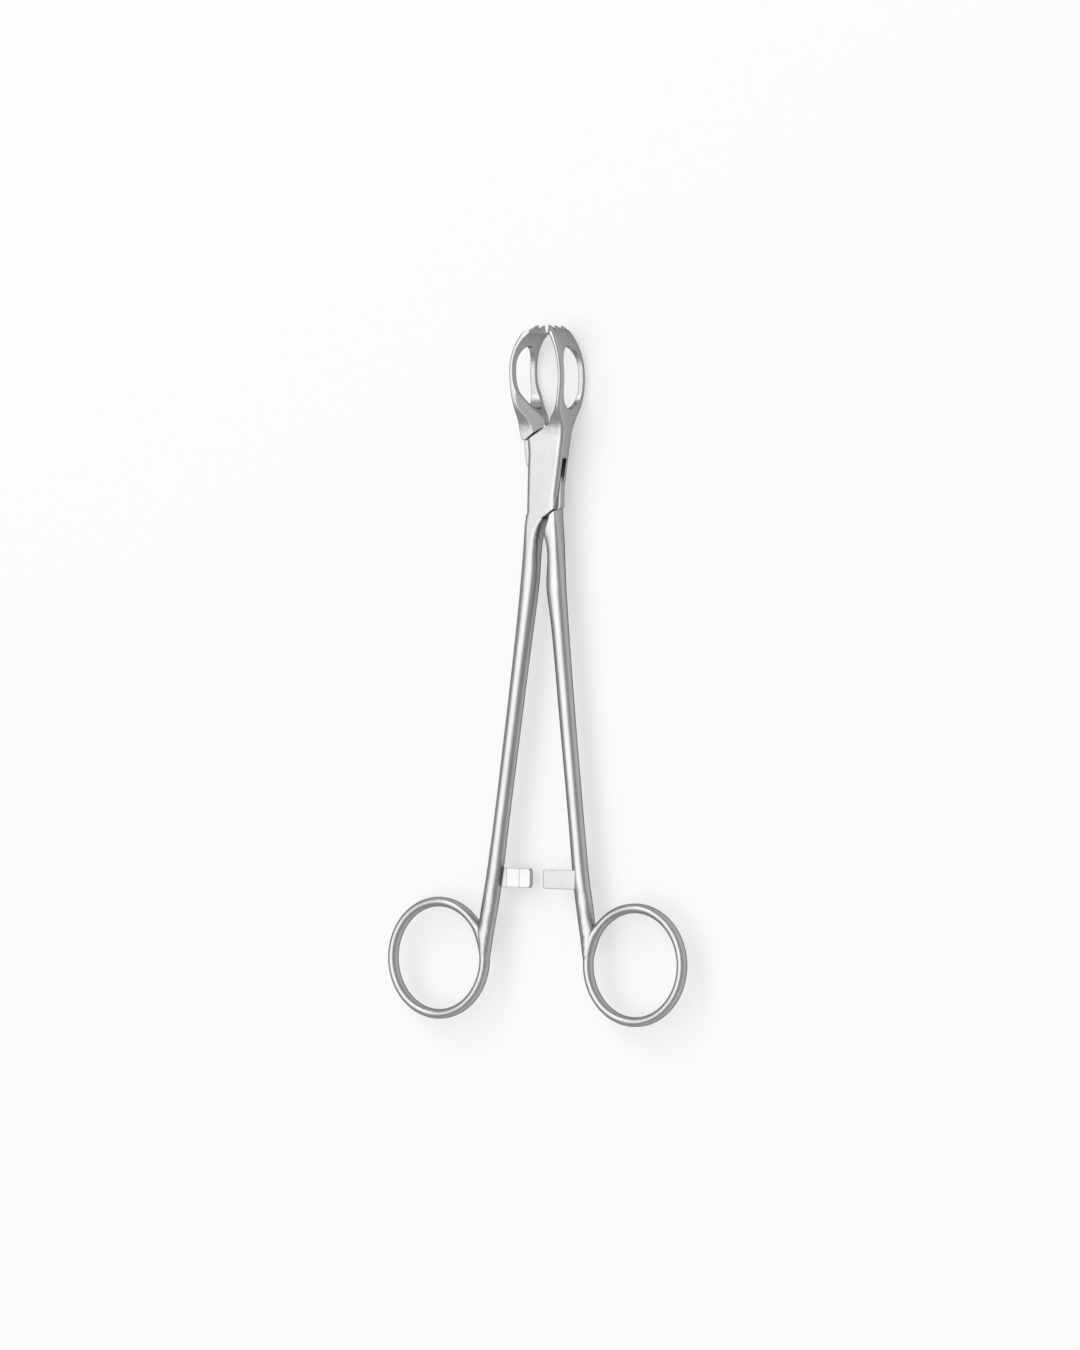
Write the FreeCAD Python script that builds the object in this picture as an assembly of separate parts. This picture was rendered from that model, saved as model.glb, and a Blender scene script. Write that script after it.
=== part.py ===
import FreeCAD, Part
import os
from math import sin, cos, pi, radians, hypot, copysign

vector = FreeCAD.Vector

# Tissue forceps with a box lock, lying flat: X across, Y towards the jaws, Z along the lock pin.
# The pin's axis is the Z axis, and the underside of the lock is at Z = 0.
# All sizes are in millimetres and all angles in degrees.
# Everything is drawn at the rest pose, with the jaws a little open.
# Shapes are drawn about the middle plane of the lock, and lifted to the frame at the end.

# Joint: the through half turns against the box half
closing_angle = 6.3          # from rest until the tips of the jaws meet
opening_angle = 62.5         # from rest until the web meets the stop wall in the box
running_gap = 0.25           # between the web and the walls at either end of the range
fork_gap = 0.35              # between the roots of the shanks, beside the lower cheek ends
shoulder_gap = 0.15          # between the ends of the cheeks and the shoulders when closed

# Lock
lock_thickness = 5.6         # over both cheeks
slot_height = 2.4            # between the cheeks
web_side_gap = 0.1           # between the web and each cheek
web_half_width = 3.2         # inner part of the web, from the pin's axis
stop_wall = 4.2              # from the pin's axis to the walls that stop the opening
side_edge_round = 0.6        # along the right side of each cheek and up its jaw
pin_radius = 1.6
pin_running_gap = 0.05       # radial, in the through half
pin_end_recess = 0.01        # the pin is ground flush with the cheeks

# Outline of the box in plan: the two slanting ends of the cheeks, and the sides
cheek_top_left = (-4.6, 9.55)
cheek_top_right = (2.2, 13.3)
cheek_top_curve = (3.15, 14.15)  # the upper end curves through here into the jaw
cheek_bottom_right = (4.48, -10.25)
cheek_bottom_left = (1.25, -12.4)
box_right_middle = (5.5, -3.0)
box_left_middle = (-4.8, -1.0)
box_left_bottom = (-4.8, -13.2)
box_end_overlap = 0.4        # the box goes on into the root of the shank by this much
box_end_inset = 1.6          # and its end slants in by this much

# Way of the web through the box
way_side_gap = 0.15          # beside the inner part of the web
way_left_bottom_y = -8.0
way_floor_rise = 0.3         # from the lower end of the cheek up to the floor of the way
way_floor_drop = (0.6, -0.6)  # from that end to where the floor turns level, on the right

# Web, in plan when closed
web_left_bottom_y = -7.4
web_left_top_y = -2.5
web_stop_end_x = 5.0         # the edges that meet the stop walls reach this far out
web_upper_side = (-6.9, 9.9)
web_upper_left = (-5.6, 12.5)
web_upper_right = (1.6, 13.4)
web_right_top_y = 12.4
web_right_bottom_y = 2.5
web_lower_right = [(5.82, -9.7), (5.0, -10.6), (4.6, -13.0), (3.6, -13.0)]
web_lower_left = [(0.35, 0.2), (0.1, 0.75)]  # from the lower end of the cheek

# Cut that sets the right shank's root off from the left one
fork_cut_top = 10.0
fork_cut_bottom = 7.6
fork_cut_widths = (4.0, 10.0)

# Shanks: they stand apart from here down
root_bottom_y = -19.0
root_inner_x = 1.25
root_outer_x = 5.95

# Jaws, as bows in plan: outer and inner side of each, from the lock to the root of the teeth
box_jaw_outer = [(7.45, 12.8), (7.85, 17.9), (8.45, 21.6), (8.8, 26.6), (8.32, 31.5),
                 (6.82, 36.35), (4.33, 40.5)]
box_jaw_inner = [(3.9, 15.5), (5.9, 18.1), (6.95, 21.6), (7.35, 26.6), (6.87, 31.4),
                 (5.48, 35.65), (2.97, 39.7)]
box_jaw_tip = [(2.5, 42.0), (2.15, 42.0)]
through_jaw_outer = [(-6.35, 9.3), (-7.15, 12.6), (-7.5, 17.3), (-8.1, 21.6), (-8.72, 26.6), (-8.72, 31.5),
                     (-7.42, 36.35), (-4.45, 40.5)]
through_jaw_inner = [(0.3, 13.0), (-0.4, 15.8), (-2.2, 17.9), (-4.4, 20.5), (-6.2, 23.2), (-7.27, 27.5),
                     (-7.27, 31.4), (-6.08, 35.65), (-3.07, 39.7)]
through_jaw_tip = [(-2.5, 42.0), (-2.15, 42.0)]

# Jaws seen from the side: half of the width along Z at each height, growing out of the lock
flare_start_y = 4.0
flare_run = 3.5              # it starts gently: over this length
flare_rise = 0.04            # it gains only this much
jaw_side = [(14.4, 3.75), (17.9, 5.7), (21.6, 6.6), (26.6, 6.75), (31.5, 6.65), (36.0, 6.15), (40.1, 5.2)]

# Bevel between the front of the through jaw's root and its inner side, as points of one plane
root_bevel_points = [(-3.0, 12.0, 3.15), (-5.5, 17.5, 5.5), (-0.6, 12.5, 1.4)]

# Opening in each jaw plate, seen along X
window_bottom_y = 18.1
window_top_y = 36.0
window_width = 10.0
window_end_height = 6.0      # height of the oval end of the opening

# Teeth, cut into the ends of the jaws: three on the box half, two on the through half
tooth_pitch = 3.4
tooth_root_y = 40.1
tooth_tip_y = 41.9
box_teeth = 3
through_teeth = 2

# Shank: (distance from the middle, height Y, width in plan, depth along Z, squareness)
# A squareness of 2 is an oval, and a higher one is nearer to a rectangle.
box_root_stations = [
    (2.0, -12.4, 6.45, 5.58, 8.0),
]
through_root_stations = [
    (2.3, -8.0, 5.6, 5.6, 4.0),
    (1.9, -12.4, 6.6, 5.6, 4.0),
]
shank_stations = [
    (3.6, root_bottom_y, root_outer_x - root_inner_x, 5.5, 3.0),
    (4.2, -28.0, 5.2, 5.3, 2.3),
    (5.5, -41.0, 5.05, 5.1, 2.1),
    (7.62, -58.8, 4.7, 4.8, 2),
    (10.35, -81.5, 4.5, 4.6, 2),
    (13.15, -104.2, 4.5, 4.6, 2),
    (15.4, -120.5, 4.9, 4.7, 2),
    (16.85, -129.5, 4.6, 4.4, 2),
    (17.35, -136.0, 3.4, 3.9, 2),
    (17.5, -141.5, 2.6, 3.4, 2),
]
rod_sides = 20               # sides of the outline that stands for a rounded section

# Finger ring: an oval bow, to the middle of its rod
ring_center = (32.8, -138.6)
ring_half_width = 15.5
ring_half_height = 16.05
ring_rod_radial = 2.75       # thickness of the rod in plan
ring_rod_depth = 3.7         # and along Z
ring_sections = 16

# Ratchet blocks between the shanks
ratchet_top_y = -112.4
ratchet_bottom_y = -117.8
ratchet_end_x = 3.15         # end of each block, from the middle
ratchet_first_ridge_x = 6.45
ratchet_pitch = 4.3
ratchet_teeth = 2
ratchet_tooth_depth = 0.95
ratchet_crest_gap = 0.12     # from the middle plane to a crest, so crests pass each other
ratchet_back_depth = 2.3     # from the middle plane to the plain back of a block
ratchet_end_round = 0.8
ratchet_root_x = 13.6        # the block ends inside the shank here

far = 40.0                   # reach of a cutting shape, outside every body


def turned(point, angle):
    a = radians(angle)
    return (point[0] * cos(a) - point[1] * sin(a), point[0] * sin(a) + point[1] * cos(a))


def unit(start, end):
    length = hypot(end[0] - start[0], end[1] - start[1])
    return ((end[0] - start[0]) / length, (end[1] - start[1]) / length)


def moved(point, way, distance):
    return (point[0] + way[0] * distance, point[1] + way[1] * distance)


def plate(points, half_height):
    corners = [vector(x, y, -half_height) for x, y in points]
    outline = Part.makePolygon(corners + corners[:1])
    return Part.Face(outline).extrude(vector(0, 0, 2 * half_height))


def curve(points):
    line = Part.BSplineCurve()
    line.interpolate([vector(*p) for p in points])
    return line.toShape()


def chain(points):
    return [Part.makeLine(vector(*a), vector(*b)) for a, b in zip(points, points[1:])]


def flat(points, z):
    return [(x, y, z) for x, y in points]


# A prism along Z from edges in plan, and one along X from edges in side view.
def plan_prism(edges, half_height):
    face = Part.Face(Part.Wire(Part.__sortEdges__(edges)))
    return face.extrude(vector(0, 0, 2 * half_height))


def side_prism(edges):
    face = Part.Face(Part.Wire(Part.__sortEdges__(edges)))
    return face.extrude(vector(2 * far, 0, 0))


def directions(points):
    result = []
    for i in range(len(points)):
        before = points[max(i - 1, 0)]
        after = points[min(i + 1, len(points) - 1)]
        result.append(unit(before, after))
    return result


def closed_wire(middle, across, pairs):
    corners = [middle + across * u + vector(0, 0, v) for u, v in pairs]
    return Part.makePolygon(corners + corners[:1])


# Section of a rod across a path in the XY plane.
def rod_section(center, way, width, depth, squareness):
    pairs = []
    for i in range(rod_sides):
        a = 2 * pi * (i + 0.5) / rod_sides
        u = copysign(abs(cos(a)) ** (2 / squareness), cos(a))
        v = copysign(abs(sin(a)) ** (2 / squareness), sin(a))
        pairs.append((u * width / 2, v * depth / 2))
    return closed_wire(vector(*center, 0), vector(-way[1], way[0], 0), pairs)


# Side view of a half's upper part: as deep as the lock, flaring to the jaw, with teeth at the end.
def side_view(teeth):
    low = box_left_bottom[1] - box_end_overlap
    start = lock_thickness / 2
    front = [(-far, flare_start_y, start), (-far, flare_start_y + flare_run, start + flare_rise)]
    front = front + [(-far, y, z) for y, z in jaw_side]
    back = [(x, y, -z) for x, y, z in front]
    points = [(-far, tooth_root_y, jaw_side[-1][1])]
    for i in range(teeth):
        middle = (teeth / 2 - i - 0.5) * tooth_pitch
        points.append((-far, tooth_root_y, middle + tooth_pitch / 2))
        points.append((-far, tooth_tip_y, middle))
    points.append((-far, tooth_root_y, -teeth / 2 * tooth_pitch))
    points.append((-far, tooth_root_y, -jaw_side[-1][1]))
    root = [(-far, flare_start_y, -start), (-far, low, -start)]
    root += [(-far, low, start), (-far, flare_start_y, start)]
    return side_prism([curve(front), curve(back)] + chain(points) + chain(root))


# A long opening with oval ends, cut along X.
def window_cutter(side):
    half = window_width / 2
    low = window_bottom_y + window_end_height
    high = window_top_y - window_end_height
    middle = Part.makeBox(far, high - low, window_width, vector(0, low, -half))
    ends = []
    for y in (low, high):
        end = Part.Face(Part.Wire([Part.Ellipse(vector(0, 0, 0), window_end_height, half).toShape()]))
        end.rotate(vector(0, 0, 0), vector(1, 1, 1), 120)
        end.translate(vector(0, y, 0))
        ends.append(end.extrude(vector(far, 0, 0)))
    cutter = middle.multiFuse(ends)
    if side < 0:
        cutter.rotate(vector(0, 0, 0), vector(0, 1, 0), 180)
    return cutter


def shank(side, root_stations):
    stations = root_stations + shank_stations
    path = [(side * s[0], s[1]) for s in stations]
    wires = []
    for point, way, station in zip(path, directions(path), stations):
        wires.append(rod_section(point, way, *station[2:]))
    return Part.makeLoft(wires, True, False)


def finger_ring(side):
    wires = []
    for i in range(ring_sections):
        a = 2 * pi * i / ring_sections
        across = side * (ring_center[0] + ring_half_width * cos(a))
        center = (across, ring_center[1] + ring_half_height * sin(a))
        way = unit((0, 0), (-side * ring_half_width * sin(a), ring_half_height * cos(a)))
        wires.append(rod_section(center, way, ring_rod_radial, ring_rod_depth, 2))
    return Part.makeLoft(wires, True, False, True)


# The block on the left shank: teeth face +Z, and the steep side of a tooth faces the shank.
def ratchet_block():
    slope = ratchet_tooth_depth / ratchet_pitch
    low = -ratchet_crest_gap - ratchet_tooth_depth
    end_z = -ratchet_crest_gap - slope * (ratchet_first_ridge_x - ratchet_end_x)
    profile = [(-ratchet_root_x, -ratchet_back_depth), (-ratchet_end_x, -ratchet_back_depth)]
    profile.append((-ratchet_end_x, end_z))
    for i in range(ratchet_teeth):
        ridge = -ratchet_first_ridge_x - i * ratchet_pitch
        profile.append((ridge, -ratchet_crest_gap))
        profile.append((ridge, low))
    profile.append((-ratchet_root_x, low + slope * (ratchet_root_x + ridge)))
    corners = [vector(px, ratchet_bottom_y, pz) for px, pz in profile]
    face = Part.Face(Part.makePolygon(corners + corners[:1]))
    block = face.extrude(vector(0, ratchet_top_y - ratchet_bottom_y, 0))
    return block.makeFillet(ratchet_end_round, [e for e in block.Edges if is_block_end(e)])


def is_block_end(edge):
    middle = edge.valueAt((edge.FirstParameter + edge.LastParameter) / 2)
    upright = edge.BoundBox.ZLength > 0.5 and edge.BoundBox.XLength < 0.01
    return upright and abs(middle.x + ratchet_end_x) < 0.01


def pin_shape(radius, half_length):
    return Part.makeCylinder(radius, 2 * half_length, vector(0, 0, -half_length))


# The plan of the box runs on into the jaw. Its lower end lies inside the root of the shank.
def box_plan():
    z = -far
    lower = [
        cheek_top_left, box_left_middle, box_left_bottom,
        (cheek_bottom_left[0] - box_end_inset, box_left_bottom[1] - box_end_overlap),
        cheek_bottom_left, cheek_bottom_right, box_right_middle, box_jaw_outer[0],
    ]
    edges = chain(flat(lower, z)) + [curve(flat(box_jaw_outer, z)), curve(flat(box_jaw_inner, z))]
    edges += chain(flat([box_jaw_outer[-1], *box_jaw_tip, box_jaw_inner[-1]], z))
    edges += chain(flat([cheek_top_left, cheek_top_right], z))
    edges.append(curve(flat([cheek_top_right, cheek_top_curve, box_jaw_inner[0]], z)))
    return plan_prism(edges, far)


def is_outer_edge(edge):
    middle = edge.valueAt((edge.FirstParameter + edge.LastParameter) / 2)
    lengthwise = edge.BoundBox.YLength > 2 and abs(middle.z) > slot_height
    on_cheek = middle.x > cheek_bottom_right[0] and middle.y < box_jaw_inner[0][1]
    on_jaw = middle.x > (box_jaw_inner[3][0] + box_jaw_outer[3][0]) / 2
    return lengthwise and (on_cheek or on_jaw)


def box_body():
    body = box_plan().common(side_view(box_teeth))
    body = body.makeFillet(side_edge_round, [e for e in body.Edges if is_outer_edge(e)])
    return body.cut(window_cutter(1))


# The way of the web through the box, from closed to fully open: all but two corners of the box,
# the upper right one and the lower left one, and a floor above the left shank's root.
def web_way():
    side = web_half_width + way_side_gap
    floor_left = moved(cheek_bottom_left, (0, 1), way_floor_rise)
    floor_right = (cheek_bottom_left[0] + way_floor_drop[0], cheek_bottom_left[1] + way_floor_drop[1])
    points = [
        (-side, -stop_wall),
        (-side, way_left_bottom_y),
        floor_left,
        floor_right,
        (far, floor_right[1]),
        (far, stop_wall),
        (side, stop_wall),
        (side, far),
        (-far, far),
        (-far, -stop_wall),
    ]
    return plate(points, slot_height / 2)


def box_half():
    body = box_body()
    for added in (shank(-1, box_root_stations), finger_ring(-1), ratchet_block()):
        body = body.fuse(added)
    body = body.cut(web_way())
    return body.cut(pin_shape(pin_radius, lock_thickness))


# The ends of the cheeks, set off by the gap, are the shoulders of the through half when closed.
# Each is turned to the rest pose, and everything on the box's side of it is cut away.
def shoulder_line(first, last):
    way = unit(first, last)
    off = (-way[1], way[0])
    start = moved(first, off, shoulder_gap)
    return turned(start, closing_angle), turned(moved(start, way, 1), closing_angle)


def beyond(line, distance):
    start, following = line
    return moved(start, unit(start, following), distance)


def shoulder_cutter(line):
    way = unit(*line)
    inward = (way[1], -way[0])
    first = beyond(line, -far)
    last = beyond(line, far)
    return plate([first, last, moved(last, inward, far), moved(first, inward, far)], far)


def through_plan():
    z = -far
    edges = [curve(flat(through_jaw_outer, z)), curve(flat(through_jaw_inner, z))]
    edges += chain(flat([through_jaw_outer[-1], *through_jaw_tip, through_jaw_inner[-1]], z))
    lower_corner = (through_jaw_inner[0][0], through_jaw_outer[0][1])
    edges += chain(flat([through_jaw_outer[0], lower_corner, through_jaw_inner[0]], z))
    return plan_prism(edges, far)


# A block that stands on the plane of three points, to cut away all beyond it.
def block_beyond(points):
    first, second, third = [vector(*p) for p in points]
    outward = (second - first).cross(third - first)
    if outward.x < 0:
        outward = outward * -1
    block = Part.makeBox(far, far, far, vector(-far / 2, -far / 2, 0))
    block.Placement = FreeCAD.Placement(first, FreeCAD.Rotation(vector(0, 0, 1), outward))
    return block


def through_top():
    body = through_plan().common(side_view(through_teeth))
    body = body.cut(window_cutter(-1))
    body = body.cut(block_beyond(root_bevel_points))
    body = body.cut(block_beyond([(x, y, -z) for x, y, z in root_bevel_points]))
    return body.cut(shoulder_cutter(shoulder_line(cheek_top_left, cheek_top_right)))


def through_bottom():
    end_line = shoulder_line(cheek_bottom_right, cheek_bottom_left)
    fork_top = moved(cheek_bottom_left, (1, 0), fork_gap)
    inner_line = shoulder_line(fork_top, (-root_inner_x, root_bottom_y))
    body = shank(1, through_root_stations).fuse(finger_ring(1))
    body = body.cut(shoulder_cutter(end_line))
    way = unit(*inner_line)
    inward = (way[1], -way[0])
    first = beyond(inner_line, -fork_cut_top)
    last = beyond(inner_line, fork_cut_bottom)
    width_bottom, width_top = fork_cut_widths
    outer = [moved(last, inward, width_bottom), moved(first, inward, width_top)]
    return body.cut(plate([first, last] + outer, far))


# The web runs through the box. When fully open its outer edges lie along the stop walls.
def through_web():
    open_turn = closing_angle + opening_angle
    edge = -stop_wall + running_gap
    stop_inner = turned((0, edge), -open_turn)
    stop_outer = turned((-web_stop_end_x, edge), -open_turn)
    upper_left = [
        (-web_half_width, web_left_bottom_y),
        (-web_half_width, web_left_top_y),
        stop_inner,
        stop_outer,
        turned(web_upper_side, -closing_angle),
        web_upper_left,
        web_upper_right,
        (web_half_width, web_right_top_y),
    ]
    lower_right = [
        (web_half_width, web_right_bottom_y),
        (-stop_inner[0], -stop_inner[1]),
        (-stop_outer[0], -stop_outer[1]),
    ]
    lower_right += [turned(p, -closing_angle) for p in web_lower_right]
    lower_right += [(cheek_bottom_left[0] + x, cheek_bottom_left[1] + y) for x, y in web_lower_left]
    points = [turned(p, closing_angle) for p in upper_left + lower_right]
    return plate(points, slot_height / 2 - web_side_gap)


def through_half():
    block = ratchet_block()
    block.rotate(vector(0, 0, 0), vector(0, 1, 0), 180)
    body = through_web().multiFuse([through_top(), through_bottom(), block])
    return body.cut(pin_shape(pin_radius + pin_running_gap, lock_thickness))


def lock_pin():
    return pin_shape(pin_radius, lock_thickness / 2 - pin_end_recess)


def build():
    os.makedirs("parts", exist_ok=True)
    shapes = {"box_half": box_half(), "through_half": through_half(), "lock_pin": lock_pin()}
    for name, shape in shapes.items():
        shape.translate(vector(0, 0, lock_thickness / 2))
        if len(shape.Solids) == 1:
            shape = shape.Solids[0]
        shape.exportStep("parts/" + name + ".step")
        print(name, len(shape.Solids), shape.isValid(), round(shape.Volume, 1), len(shape.Faces))


build()
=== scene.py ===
import bpy
import bmesh
import math
from mathutils import Matrix, Vector


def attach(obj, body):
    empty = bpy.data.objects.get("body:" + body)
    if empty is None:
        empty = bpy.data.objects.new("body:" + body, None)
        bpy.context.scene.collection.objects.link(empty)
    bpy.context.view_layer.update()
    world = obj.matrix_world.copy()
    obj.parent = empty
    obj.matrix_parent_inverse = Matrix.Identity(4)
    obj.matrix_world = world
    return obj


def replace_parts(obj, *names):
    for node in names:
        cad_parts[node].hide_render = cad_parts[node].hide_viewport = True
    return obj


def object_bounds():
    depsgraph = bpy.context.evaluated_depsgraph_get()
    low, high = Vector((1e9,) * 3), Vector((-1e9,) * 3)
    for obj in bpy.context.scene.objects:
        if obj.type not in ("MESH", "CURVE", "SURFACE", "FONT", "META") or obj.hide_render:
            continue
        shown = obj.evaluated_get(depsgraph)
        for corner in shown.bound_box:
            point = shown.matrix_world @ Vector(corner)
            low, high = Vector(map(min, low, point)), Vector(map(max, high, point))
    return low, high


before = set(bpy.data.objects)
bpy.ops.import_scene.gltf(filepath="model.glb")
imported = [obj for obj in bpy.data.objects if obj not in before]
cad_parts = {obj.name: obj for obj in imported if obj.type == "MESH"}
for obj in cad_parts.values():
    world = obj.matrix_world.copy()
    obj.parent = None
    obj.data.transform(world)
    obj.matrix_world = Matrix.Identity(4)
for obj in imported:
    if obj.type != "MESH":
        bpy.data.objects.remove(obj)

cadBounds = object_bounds()
mm = 0.001
scene = bpy.context.scene
scene.view_settings.view_transform = "Standard"


# Camera: far away with a long lens, above the forceps and to their right
cameraSettings = {
    "turn": 32.0,            # degrees from straight above, towards +X
    "roll": 1.08,            # degrees
    "target": (-0.41, -57.33, 3.05),  # mm
    "frameHeight": 383.0,    # mm seen from the bottom to the top of the picture
    "distance": 2600.0,      # mm
    "clipEnd": 60.0,         # m, past the far edge of the floor
}


def makeCamera(s):
    turn = math.radians(s["turn"])
    roll = math.radians(s["roll"])
    back = Vector((math.sin(turn), 0, math.cos(turn)))
    across = Vector((math.cos(turn), 0, -math.sin(turn)))
    upward = Vector((0, 1, 0))
    right = across * math.cos(roll) + upward * math.sin(roll)
    up = upward * math.cos(roll) - across * math.sin(roll)
    data = bpy.data.cameras.new("camera")
    # The picture is upright, so the sensor's width lies along its height.
    data.lens = data.sensor_width * s["distance"] / s["frameHeight"]
    data.clip_end = s["clipEnd"]
    camera = bpy.data.objects.new("camera", data)
    place = Vector(s["target"]) * mm + back * s["distance"] * mm
    facing = Matrix((right, up, back)).transposed().to_4x4()
    camera.matrix_world = Matrix.Translation(place) @ facing
    scene.collection.objects.link(camera)
    scene.camera = camera


makeCamera(cameraSettings)


# Stage: a plain white floor under the forceps, and soft light from above
stageSettings = {
    "floorSize": 40.0,       # m
    "floorDrop": 0.0002,     # m, below the lowest point of the forceps
    "floorColor": (0.73, 0.73, 0.73, 1),
    "floorRough": 0.9,
    "floorGlow": 0.5,        # share of plain white in the floor as it is seen
    "skyFrom": (-0.07, 0.10, 0.99),  # direction of the bright part of the sky
    "skyTop": 2.3,           # strength of the light there
    "skyLow": 0.22,          # share of it in the darkest part
    "skyStart": 0.64,        # cosine of the angle from it where the sky begins to brighten
    "skyFull": 0.92,         # and where it is at full strength
    "lampPlace": (-0.5, 0.9, 0.9),  # m
    "lampEnergy": 3.0,       # W
    "lampSize": 0.6,         # m across
}


def newMaterial(name):
    material = bpy.data.materials.new(name)
    material.use_nodes = True
    nodes = material.node_tree.nodes
    return material, nodes, material.node_tree.links, nodes["Principled BSDF"]


def mathNode(nodes, operation):
    node = nodes.new("ShaderNodeMath")
    node.operation = operation
    return node


def makeFloor(s):
    material, nodes, links, shader = newMaterial("paleFloor")
    shader.inputs["Base Color"].default_value = s["floorColor"]
    shader.inputs["Roughness"].default_value = s["floorRough"]
    shader.inputs["Specular IOR Level"].default_value = 0.0
    white = nodes.new("ShaderNodeEmission")
    white.inputs["Strength"].default_value = 1.0
    # The white shows to the camera and in the steel, and adds no soft light.
    path = nodes.new("ShaderNodeLightPath")
    seen = path.outputs["Is Camera Ray"]
    for ray in ("Is Glossy Ray", "Is Transmission Ray"):
        either = mathNode(nodes, "MAXIMUM")
        links.new(seen, either.inputs[0])
        links.new(path.outputs[ray], either.inputs[1])
        seen = either.outputs[0]
    share = mathNode(nodes, "MULTIPLY")
    share.inputs[1].default_value = s["floorGlow"]
    blend = nodes.new("ShaderNodeMixShader")
    links.new(seen, share.inputs[0])
    links.new(share.outputs[0], blend.inputs[0])
    links.new(shader.outputs[0], blend.inputs[1])
    links.new(white.outputs[0], blend.inputs[2])
    links.new(blend.outputs[0], nodes["Material Output"].inputs["Surface"])
    half = s["floorSize"] / 2
    low = cadBounds[0][2] - s["floorDrop"]
    corners = [(-half, -half, low), (half, -half, low), (half, half, low), (-half, half, low)]
    mesh = bpy.data.meshes.new("floor")
    mesh.from_pydata(corners, [], [(0, 1, 2, 3)])
    mesh.materials.append(material)
    floor = bpy.data.objects.new("floor", mesh)
    scene.collection.objects.link(floor)


def makeSky(s):
    world = bpy.data.worlds.new("softSky")
    world.use_nodes = True
    scene.world = world
    nodes = world.node_tree.nodes
    links = world.node_tree.links
    background = nodes["Background"]
    coordinate = nodes.new("ShaderNodeTexCoord")
    towards = nodes.new("ShaderNodeVectorMath")
    towards.operation = "DOT_PRODUCT"
    towards.inputs[1].default_value = Vector(s["skyFrom"]).normalized()
    ramp = nodes.new("ShaderNodeValToRGB")
    ramp.color_ramp.interpolation = "EASE"
    ramp.color_ramp.elements[0].position = s["skyStart"]
    ramp.color_ramp.elements[0].color = (s["skyLow"], s["skyLow"], s["skyLow"], 1)
    ramp.color_ramp.elements[1].position = s["skyFull"]
    ramp.color_ramp.elements[1].color = (1, 1, 1, 1)
    links.new(coordinate.outputs["Generated"], towards.inputs[0])
    links.new(towards.outputs["Value"], ramp.inputs["Fac"])
    links.new(ramp.outputs["Color"], background.inputs["Color"])
    background.inputs["Strength"].default_value = s["skyTop"]


def makeLamp(s):
    data = bpy.data.lights.new("overheadLamp", "AREA")
    data.shape = "DISK"
    data.size = s["lampSize"]
    data.energy = s["lampEnergy"]
    lamp = bpy.data.objects.new("overheadLamp", data)
    lamp.location = s["lampPlace"]
    lamp.rotation_euler = (-lamp.location).to_track_quat("-Z", "Y").to_euler()  # at the lock
    scene.collection.objects.link(lamp)


makeFloor(stageSettings)
makeSky(stageSettings)
makeLamp(stageSettings)
print("stage ready")


# Satin steel: fine polishing lines along the instrument, faint clouds in tone, specks in gloss
steelSettings = {
    "lightTone": (0.47, 0.47, 0.48, 1),
    "darkTone": (0.36, 0.36, 0.37, 1),
    "edgeTint": (0.08, 0.08, 0.09, 1),  # reflection at a grazing angle, against a plain metal's
    "cloudScale": 90.0,
    "cloudDetail": 4,
    "lineScale": 5200.0,     # polishing lines per metre, about
    "lineDetail": 3,
    "lineStretch": 0.02,     # scale along Y, against across
    "lineTone": 0.35,        # what the lines add to the clouds in the tone
    "lineDepth": 0.000012,   # m
    "lineStrength": 0.35,    # of their bump
    "speckScale": 1400.0,
    "speckDetail": 2,
    "speckLow": 0.3,         # the roughness is lowest where the specks are at this value
    "speckHigh": 0.7,        # and highest at this one
    "roughLow": 0.28,
    "roughHigh": 0.38,
    "edgeRound": 0.0004,     # m, softening seen on sharp edges
    "edgeSamples": 6,
    "plainRadius": 0.0024,   # m, around the lock pin, where the cheek is ground smooth over it
}


def noiseNode(nodes, scale, detail):
    node = nodes.new("ShaderNodeTexNoise")
    node.inputs["Scale"].default_value = scale
    node.inputs["Detail"].default_value = detail
    return node


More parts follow.
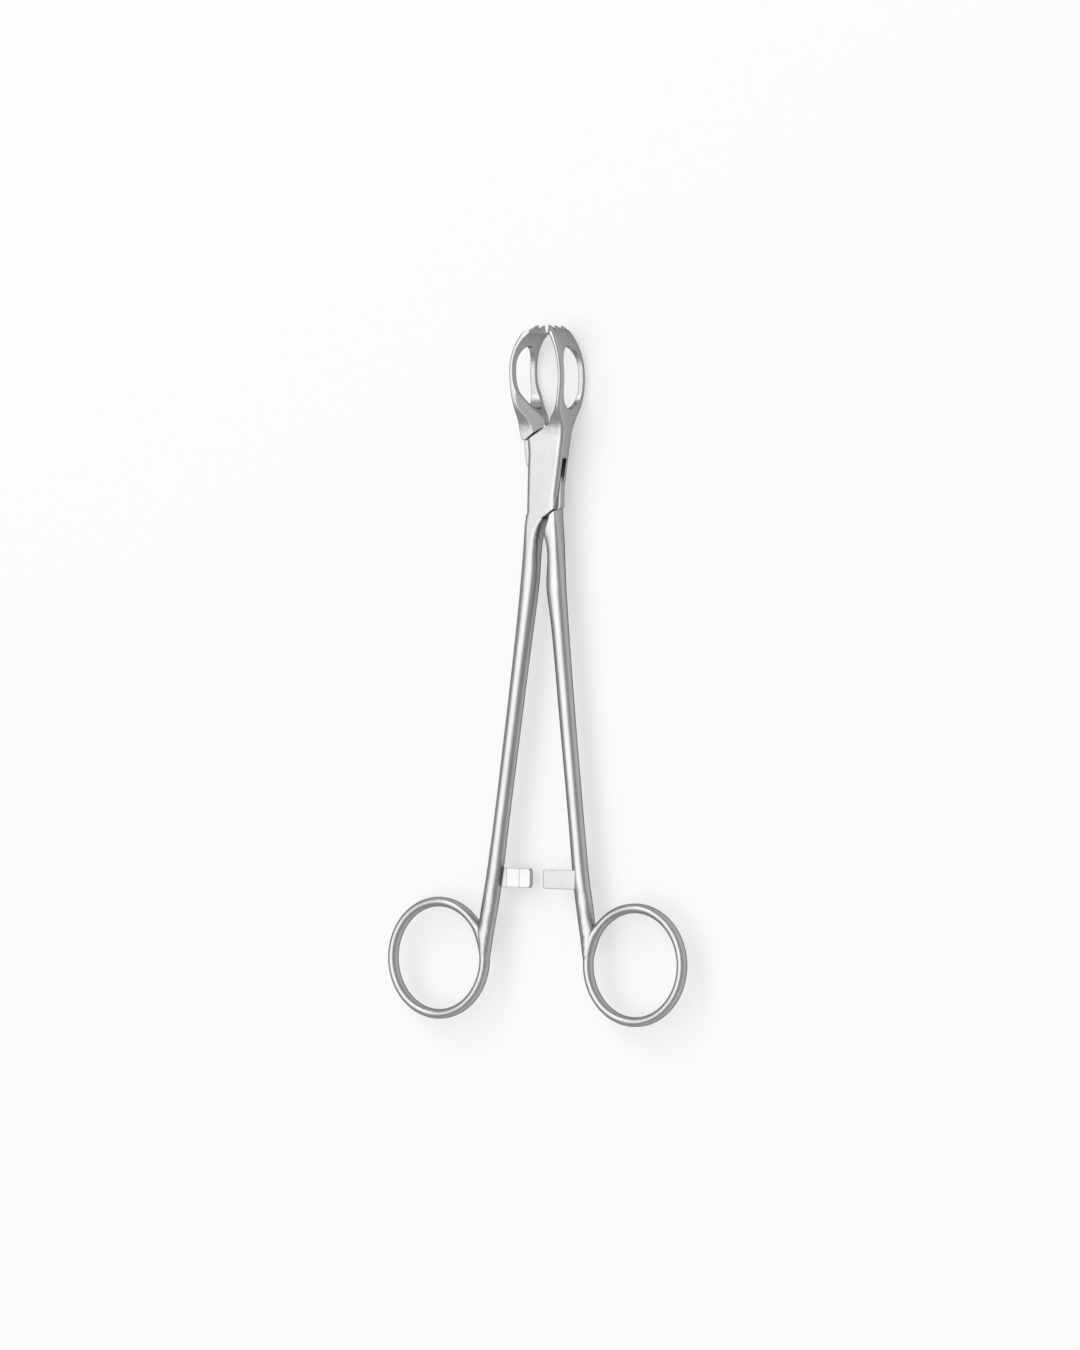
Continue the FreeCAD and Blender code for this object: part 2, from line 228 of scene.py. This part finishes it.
def makeSteel(s):
    material, nodes, links, shader = newMaterial("satinSteel")
    shader.inputs["Metallic"].default_value = 1.0
    shader.inputs["Specular Tint"].default_value = s["edgeTint"]
    place = nodes.new("ShaderNodeTexCoord")
    stretch = nodes.new("ShaderNodeMapping")
    stretch.inputs["Scale"].default_value = (1, s["lineStretch"], 1)
    lines = noiseNode(nodes, s["lineScale"], s["lineDetail"])
    clouds = noiseNode(nodes, s["cloudScale"], s["cloudDetail"])
    specks = noiseNode(nodes, s["speckScale"], s["speckDetail"])
    links.new(place.outputs["Object"], stretch.inputs["Vector"])
    links.new(stretch.outputs["Vector"], lines.inputs["Vector"])
    links.new(place.outputs["Object"], clouds.inputs["Vector"])
    links.new(place.outputs["Object"], specks.inputs["Vector"])

    blend = mathNode(nodes, "MULTIPLY_ADD")
    blend.inputs[1].default_value = s["lineTone"]
    tone = nodes.new("ShaderNodeMix")
    tone.data_type = "RGBA"
    tone.inputs["A"].default_value = s["darkTone"]
    tone.inputs["B"].default_value = s["lightTone"]
    links.new(lines.outputs["Fac"], blend.inputs[0])
    links.new(clouds.outputs["Fac"], blend.inputs[2])
    links.new(blend.outputs[0], tone.inputs["Factor"])
    links.new(tone.outputs["Result"], shader.inputs["Base Color"])

    rough = nodes.new("ShaderNodeMapRange")
    rough.inputs["From Min"].default_value = s["speckLow"]
    rough.inputs["From Max"].default_value = s["speckHigh"]
    rough.inputs["To Min"].default_value = s["roughLow"]
    rough.inputs["To Max"].default_value = s["roughHigh"]
    links.new(specks.outputs["Fac"], rough.inputs["Value"])
    links.new(rough.outputs["Result"], shader.inputs["Roughness"])

    # Edges are softened everywhere but over the pin.
    across = nodes.new("ShaderNodeVectorMath")
    across.operation = "MULTIPLY"
    across.inputs[1].default_value = (1, 1, 0)
    radius = nodes.new("ShaderNodeVectorMath")
    radius.operation = "LENGTH"
    outside = mathNode(nodes, "GREATER_THAN")
    outside.inputs[1].default_value = s["plainRadius"]
    plain = nodes.new("ShaderNodeNewGeometry")
    rounding = nodes.new("ShaderNodeBevel")
    rounding.samples = s["edgeSamples"]
    rounding.inputs["Radius"].default_value = s["edgeRound"]
    soften = nodes.new("ShaderNodeMix")
    soften.data_type = "VECTOR"
    links.new(place.outputs["Object"], across.inputs[0])
    links.new(across.outputs[0], radius.inputs[0])
    links.new(radius.outputs["Value"], outside.inputs[0])
    links.new(outside.outputs[0], soften.inputs["Factor"])
    links.new(plain.outputs["Normal"], soften.inputs["A"])
    links.new(rounding.outputs["Normal"], soften.inputs["B"])

    bump = nodes.new("ShaderNodeBump")
    bump.inputs["Strength"].default_value = s["lineStrength"]
    bump.inputs["Distance"].default_value = s["lineDepth"]
    links.new(soften.outputs["Result"], bump.inputs["Normal"])
    links.new(lines.outputs["Fac"], bump.inputs["Height"])
    links.new(bump.outputs["Normal"], shader.inputs["Normal"])
    return material


satinSteel = makeSteel(steelSettings)
print("steel ready")


# Geometry trees: each ends in real geometry that wears the steel
def namedInput(tree, name, kind, value):
    socket = tree.interface.new_socket(name=name, in_out="INPUT", socket_type=kind)
    socket.default_value = value
    return socket.identifier


def startTree(name):
    tree = bpy.data.node_groups.new(name, "GeometryNodeTree")
    kind = "NodeSocketGeometry"
    tree.interface.new_socket(name="Geometry", in_out="INPUT", socket_type=kind)
    tree.interface.new_socket(name="Geometry", in_out="OUTPUT", socket_type=kind)
    return tree, tree.nodes.new("NodeGroupInput"), tree.nodes.new("NodeGroupOutput")


def finishTree(tree, groupOutput, geometry, material):
    realize = tree.nodes.new("GeometryNodeRealizeInstances")
    dress = tree.nodes.new("GeometryNodeSetMaterial")
    dress.inputs["Material"].default_value = material
    tree.links.new(geometry, realize.inputs[0])
    tree.links.new(realize.outputs[0], dress.inputs["Geometry"])
    tree.links.new(dress.outputs[0], groupOutput.inputs[0])


def settle(carrier, name):
    # The evaluated result becomes a plain mesh with no modifiers on it.
    bpy.context.view_layer.update()
    graph = bpy.context.evaluated_depsgraph_get()
    mesh = bpy.data.meshes.new_from_object(carrier.evaluated_get(graph))
    bpy.data.objects.remove(carrier)
    piece = bpy.data.objects.new(name, mesh)
    scene.collection.objects.link(piece)
    return piece


# Forgings: a half's facets are welded, its worn edges rounded, and the whole shaded smooth
# Lengths are in mm where it doesn't say m.
forgingSettings = {
    "weld": 0.000004,        # m
    "creaseAngle": 27.0,     # degrees, an edge sharper than this stays crisp
    "normalWeight": 60,      # over 50, so that large faces turn the shading more
    "middleZ": 2.8,
    "fade": 5.0,             # over which a rounding starts and ends
    "stepX": 0.125,          # spacing of the cuts that let the mesh bend
    "stepY": 0.5,
    "cutSnap": 0.000001,     # m, a corner this near to a cut lies on it
    "rowReach": 0.02,        # a corner this near to a row counts for the outline there
    "sliver": 0.00002,       # m, edges shorter than this are taken out afterwards
    "crumbFaces": 1000,      # and so are loose patches of fewer faces
}
# side: -1 is the left of the picture and 1 the right
# cuts: axis (0 for X, 1 for Y), first and last place, and the rows of Y they stay within
# edges: width is measured across a piece from its side, depth along Z from front and back
boxSettings = {
    "side": -1,
    "cuts": [(1, -19, 41, -20, 42), (0, -5.9, -3.1, -19.5, 10), (0, 2.5, 8.9, -10.5, 41)],
    "edges": [
        # the cheeks, which dip a little where they run into the left shank, then the jaw
        {"side": -1, "from": -19.0, "to": 10.5, "width": 1.5, "depth": 1.5,
         "dip": {"y": -13.2, "reach": 3.0, "depth": 0.06}},
        {"side": 1, "from": -11.0, "to": 17.0, "width": 1.5, "depth": 1.5},
        {"side": 1, "from": 11.0, "to": 42.0, "width": 0.8, "depth": 1.3},
        {"side": -1, "from": 16.0, "to": 42.0, "width": 0.65, "depth": 1.2},
    ],
}
throughSettings = {
    "side": 1,
    "cuts": [(1, 12, 41, 11, 42), (0, -8.9, -2.3, 12.5, 41)],
    "edges": [
        # the jaw's outer and inner side
        {"side": -1, "from": 12.0, "to": 40.0, "width": 0.5, "depth": 0.9},
        {"side": 1, "from": 21.0, "to": 40.0, "width": 0.65, "depth": 1.0},
    ],
}


def makeForgingTree(s, material):
    tree, start, end = startTree("smoothForging")
    namedInput(tree, "Weld", "NodeSocketFloat", s["weld"])
    namedInput(tree, "Crease Angle", "NodeSocketFloat", math.radians(s["creaseAngle"]))
    weld = tree.nodes.new("GeometryNodeMergeByDistance")
    smooth = tree.nodes.new("GeometryNodeSetShadeSmooth")
    smooth.domain = "FACE"
    crease = tree.nodes.new("GeometryNodeSetShadeSmooth")
    crease.domain = "EDGE"
    crease.inputs["Shade Smooth"].default_value = False
    angle = tree.nodes.new("GeometryNodeInputMeshEdgeAngle")
    sharper = tree.nodes.new("FunctionNodeCompare")
    sharper.data_type = "FLOAT"
    sharper.operation = "GREATER_THAN"
    tree.links.new(start.outputs["Geometry"], weld.inputs["Geometry"])
    tree.links.new(start.outputs["Weld"], weld.inputs["Distance"])
    tree.links.new(weld.outputs[0], smooth.inputs["Geometry"])
    tree.links.new(smooth.outputs[0], crease.inputs["Geometry"])
    tree.links.new(angle.outputs["Unsigned Angle"], sharper.inputs[0])
    tree.links.new(start.outputs["Crease Angle"], sharper.inputs[1])
    tree.links.new(sharper.outputs[0], crease.inputs["Selection"])
    finishTree(tree, end, crease.outputs[0], material)
    return tree


def cutAcross(work, axis, start, stop, low, high):
    step = forgingSettings["stepX"] if axis == 0 else forgingSettings["stepY"]
    normal = (1, 0, 0) if axis == 0 else (0, 1, 0)
    for i in range(int((stop - start) / step) + 1):
        place = (start + i * step) * mm
        faces = [f for f in work.faces if low * mm < f.calc_center_median().y < high * mm
                 and min(v.co[axis] for v in f.verts) < place < max(v.co[axis] for v in f.verts)]
        edges = {e for f in faces for e in f.edges}
        corners = {v for f in faces for v in f.verts}
        point = (place, 0, 0) if axis == 0 else (0, place, 0)
        bmesh.ops.bisect_plane(work, geom=faces + list(edges) + list(corners),
                               dist=forgingSettings["cutSnap"], plane_co=point, plane_no=normal)


def sideLine(work, side, low, high):
    # The piece's own outline on this side, read at each cut across it.
    step = forgingSettings["stepY"]
    best = {}
    for v in work.verts:
        y = v.co.y / mm
        row = round(y / step)
        if low - step < y < high + step and abs(y - row * step) < forgingSettings["rowReach"]:
            height = abs(v.co.z / mm - forgingSettings["middleZ"])
            out = side * v.co.x / mm
            reach, top = best.get(row, (out, height))
            best[row] = (max(reach, out), max(top, height))
    return best


def readLine(line, y):
    place = min(max(y / forgingSettings["stepY"], min(line)), max(line))
    row = math.floor(place)
    first = line[row]
    second = line.get(row + 1, first)
    part = place - row
    return [a + (b - a) * part for a, b in zip(first, second)]


def roundSide(work, s):
    side = s["side"]
    line = sideLine(work, side, s["from"], s["to"])
    middle = forgingSettings["middleZ"]
    for v in work.verts:
        y = v.co.y / mm
        if not s["from"] < y < s["to"]:
            continue
        reach, limit = readLine(line, y)
        inward = max(reach - side * v.co.x / mm, 0)
        share = min(1, (y - s["from"]) / forgingSettings["fade"],
                    (s["to"] - y) / forgingSettings["fade"])
        if inward < s["width"]:
            arc = 1 - math.sqrt(1 - (1 - inward / s["width"]) ** 2)
            limit -= share * s["depth"] * arc
        if "dip" in s:
            dip = s["dip"]
            limit -= dip["depth"] * max(0, 1 - abs(y - dip["y"]) / dip["reach"])
        height = v.co.z / mm - middle
        if abs(height) > limit:
            v.co.z = (middle + math.copysign(limit, height)) * mm


def dropCrumbs(work):
    # Small loose patches that lie on a ring or an edge are taken out.
    seen = set()
    crumbs = []
    for face in work.faces:
        if face in seen:
            continue
        seen.add(face)
        patch = [face]
        for member in patch:
            for edge in member.edges:
                for other in edge.link_faces:
                    if other not in seen:
                        seen.add(other)
                        patch.append(other)
        if len(patch) < forgingSettings["crumbFaces"]:
            crumbs += patch
    bmesh.ops.delete(work, geom=crumbs, context="FACES")


def rework(work, s):
    for cut in s["cuts"]:
        cutAcross(work, *cut)
    for edge in s["edges"]:
        roundSide(work, edge)
    cutAcross(work, *ringSettings["blendCuts"])
    swell(work, s["side"], ringDistance)
    bmesh.ops.dissolve_degenerate(work, dist=forgingSettings["sliver"], edges=work.edges)
    dropCrumbs(work)


def smoothCopy(nodeName, pieceName, tree, s):
    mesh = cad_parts[nodeName].data.copy()
    mesh.materials.clear()
    work = bmesh.new()
    work.from_mesh(mesh)
    bmesh.ops.remove_doubles(work, verts=work.verts, dist=forgingSettings["weld"])
    # The node's own ring goes, and a smoother one takes its place.
    ring = [f for f in work.faces if all(insideRod(v.co, s["side"]) for v in f.verts)]
    bmesh.ops.delete(work, geom=ring, context="FACES")
    rework(work, s)
    work.to_mesh(mesh)
    work.free()
    carrier = bpy.data.objects.new(pieceName + ".carrier", mesh)
    scene.collection.objects.link(carrier)
    carrier.modifiers.new("forging", "NODES").node_group = tree
    weighted = carrier.modifiers.new("weighted", "WEIGHTED_NORMAL")
    weighted.keep_sharp = True
    weighted.weight = forgingSettings["normalWeight"]
    return settle(carrier, pieceName)


# Finger rings: an oval bow with an oval rod, all in mm
ringSettings = {
    "centerX": 32.8,
    "centerY": -138.6,
    "centerZ": 2.8,
    "halfWidth": 15.48,
    "halfHeight": 16.02,
    "rodRadial": 2.75,       # whole thickness of the rod across the bow
    "rodDepth": 3.7,         # and along Z
    "bowSteps": 240,
    "rodSteps": 32,
    "rodMargin": 1.1,        # square of how far out a half counts as ring, 1 at the rod's surface
    # lower end of the shank: height Y, distance from the middle, half width, half depth
    "shankEnd": [(-104.2, 13.15, 2.25, 2.3), (-120.5, 15.4, 2.45, 2.35),
                 (-129.5, 16.85, 2.3, 2.2), (-136.0, 17.35, 1.7, 1.95),
                 (-141.5, 17.5, 1.3, 1.7)],
    "blendTop": -118.5,      # the shank and the ring swell towards each other below here
    "blendBottom": -137.5,   # and above here
    "blendReach": 2.2,       # how near they have to be
    "blendRise": 0.5,        # at the line where they meet
    "blendFade": 7.0,        # over which the swelling starts and ends along Y
    "blendCuts": (1, -141, -118.5, -142, -118),  # as the cuts of a half
}


def bowDistance(x, y, side):
    # How far a place lies outside the middle line of the bow.
    s = ringSettings
    across = (side * x - s["centerX"]) / s["halfWidth"]
    along = (y - s["centerY"]) / s["halfHeight"]
    return (math.hypot(across, along) - 1) * (s["halfWidth"] + s["halfHeight"]) / 2


def ringDistance(x, y, z, side):
    s = ringSettings
    radial = 2 * bowDistance(x, y, side) / s["rodRadial"]
    height = 2 * (z - s["centerZ"]) / s["rodDepth"]
    return (math.hypot(radial, height) - 1) * (s["rodRadial"] + s["rodDepth"]) / 4


def insideRod(point, side):
    s = ringSettings
    radial = 2 * bowDistance(point.x / mm, point.y / mm, side) / s["rodRadial"]
    height = 2 * (point.z / mm - s["centerZ"]) / s["rodDepth"]
    return radial ** 2 + height ** 2 < s["rodMargin"]


def shankDistance(x, y, z, side):
    stations = ringSettings["shankEnd"]
    if y < stations[-1][0] or y > stations[0][0]:
        return ringSettings["blendReach"]
    for first, second in zip(stations, stations[1:]):
        if second[0] <= y <= first[0]:
            part = (y - first[0]) / (second[0] - first[0])
            middle, width, depth = [a + (b - a) * part for a, b in zip(first[1:], second[1:])]
    far = math.hypot((side * x - middle) / width, (z - ringSettings["centerZ"]) / depth) - 1
    return far * (width + depth) / 2


def swell(work, side, distanceTo):
    s = ringSettings
    work.normal_update()
    moves = []
    for v in work.verts:
        x, y, z = v.co.x / mm, v.co.y / mm, v.co.z / mm
        if y < s["blendTop"] and side * x > 0:
            near = max(0, 1 - abs(distanceTo(x, y, z, side)) / s["blendReach"])
            fade = min(1, (s["blendTop"] - y) / s["blendFade"],
                       max(0, y - s["blendBottom"]) / s["blendFade"])
            moves.append((v, v.normal * s["blendRise"] * near * near * fade * mm))
    for v, move in moves:
        v.co += move


def makeRingTree(s, material):
    tree, start, end = startTree("fingerRing")
    sizes = {
        "Center X": s["centerX"],
        "Center Y": s["centerY"],
        "Center Z": s["centerZ"],
        "Half Width": s["halfWidth"],
        "Half Height": s["halfHeight"],
        "Rod Half Radial": s["rodRadial"] / 2,
        "Rod Half Depth": s["rodDepth"] / 2,
    }
    keys = {name: namedInput(tree, name, "NodeSocketFloat", size * mm)
            for name, size in sizes.items()}

    def vectorOf(x, y, z):
        node = tree.nodes.new("ShaderNodeCombineXYZ")
        for slot, source in zip(node.inputs, (x, y, z)):
            if isinstance(source, str):
                tree.links.new(start.outputs[source], slot)
            else:
                slot.default_value = source
        return node.outputs[0]

    def scaledCircle(steps, scale):
        circle = tree.nodes.new("GeometryNodeCurvePrimitiveCircle")
        circle.inputs["Resolution"].default_value = steps
        circle.inputs["Radius"].default_value = 1.0
        change = tree.nodes.new("GeometryNodeTransform")
        tree.links.new(circle.outputs["Curve"], change.inputs["Geometry"])
        tree.links.new(scale, change.inputs["Scale"])
        return change.outputs[0]

    bow = scaledCircle(s["bowSteps"], vectorOf("Half Width", "Half Height", 1.0))
    rod = scaledCircle(s["rodSteps"], vectorOf("Rod Half Radial", "Rod Half Depth", 1.0))
    upright = tree.nodes.new("GeometryNodeSetCurveNormal")
    upright.mode = "Z_UP"
    sweep = tree.nodes.new("GeometryNodeCurveToMesh")
    smooth = tree.nodes.new("GeometryNodeSetShadeSmooth")
    shift = tree.nodes.new("GeometryNodeTransform")
    tree.links.new(bow, upright.inputs["Curve"])
    tree.links.new(upright.outputs[0], sweep.inputs["Curve"])
    tree.links.new(rod, sweep.inputs["Profile Curve"])
    tree.links.new(sweep.outputs[0], smooth.inputs["Geometry"])
    tree.links.new(smooth.outputs[0], shift.inputs["Geometry"])
    tree.links.new(vectorOf("Center X", "Center Y", "Center Z"), shift.inputs["Translation"])
    finishTree(tree, end, shift.outputs[0], material)
    return tree, keys


def fingerRing(name, side, tree, keys):
    carrier = bpy.data.objects.new(name + ".carrier", bpy.data.meshes.new(name + ".seed"))
    scene.collection.objects.link(carrier)
    modifier = carrier.modifiers.new("ring", "NODES")
    modifier.node_group = tree
    modifier[keys["Center X"]] = side * ringSettings["centerX"] * mm
    piece = settle(carrier, name)
    work = bmesh.new()
    work.from_mesh(piece.data)
    bmesh.ops.recalc_face_normals(work, faces=work.faces)
    swell(work, side, shankDistance)
    work.to_mesh(piece.data)
    work.free()
    return piece


forgingTree = makeForgingTree(forgingSettings, satinSteel)
ringTree, ringKeys = makeRingTree(ringSettings, satinSteel)

boxForging = smoothCopy("box_half", "boxForging", forgingTree, boxSettings)
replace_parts(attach(boxForging, "box"), "box_half")
throughForging = smoothCopy("through_half", "throughForging", forgingTree, throughSettings)
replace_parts(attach(throughForging, "through"), "through_half")
leftRing = fingerRing("leftRing", -1, ringTree, ringKeys)
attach(leftRing, "box")
rightRing = fingerRing("rightRing", 1, ringTree, ringKeys)
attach(rightRing, "through")
print("halves and rings ready", len(boxForging.data.polygons), len(throughForging.data.polygons))


# Lock pin: ground flush, in the same steel
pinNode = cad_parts["lock_pin"]
pinNode.data.materials.clear()
pinNode.data.materials.append(satinSteel)
print("pin ready")
